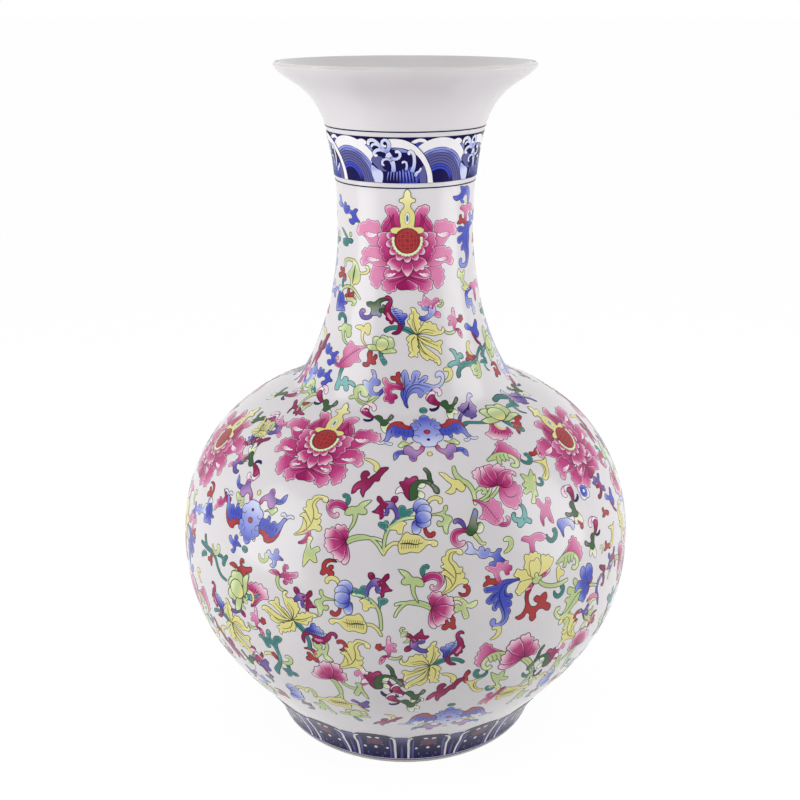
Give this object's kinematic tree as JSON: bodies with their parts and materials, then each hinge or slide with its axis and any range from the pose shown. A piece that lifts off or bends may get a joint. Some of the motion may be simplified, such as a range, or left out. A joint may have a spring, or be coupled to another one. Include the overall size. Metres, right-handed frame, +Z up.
{
  "type": "porcelain bottle vase",
  "caption": "Glazed porcelain bottle vase with a round belly, long neck, flared mouth and foot ring, with enamel bands; stands on its foot and holds stems or water.",
  "frame": {"origin": "centre of the standing face of the foot ring", "axes": "+Z up along the vase's axis of turning, X and Y level"},
  "size_m": [0.3889, 0.389, 0.57],
  "materials": {
    "porcelain_body": "bare fired white clay, matt",
    "luting_slip": "fired slip, matt",
    "clear_glaze": "glossy white glaze",
    "navy_enamel": "glossy fired enamel",
    "grey_blue_enamel": "glossy fired enamel"
  },
  "bodies": {
    "root": {"foot_ring": "porcelain_body", "belly_bowl": "porcelain_body", "belly_dome": "porcelain_body", "neck": "porcelain_body", "mouth": "porcelain_body", "foot_luting": "luting_slip", "belly_luting": "luting_slip", "shoulder_luting": "luting_slip", "neck_luting": "luting_slip", "outer_glaze": "clear_glaze", "inner_glaze": "clear_glaze", "base_glaze": "clear_glaze", "wave_band": "navy_enamel", "wave_upper_line": "navy_enamel", "wave_lower_line": "navy_enamel", "lappets": "navy_enamel", "lappet_gaps": "grey_blue_enamel", "foot_line": "navy_enamel"}
  },
  "joints": []
}
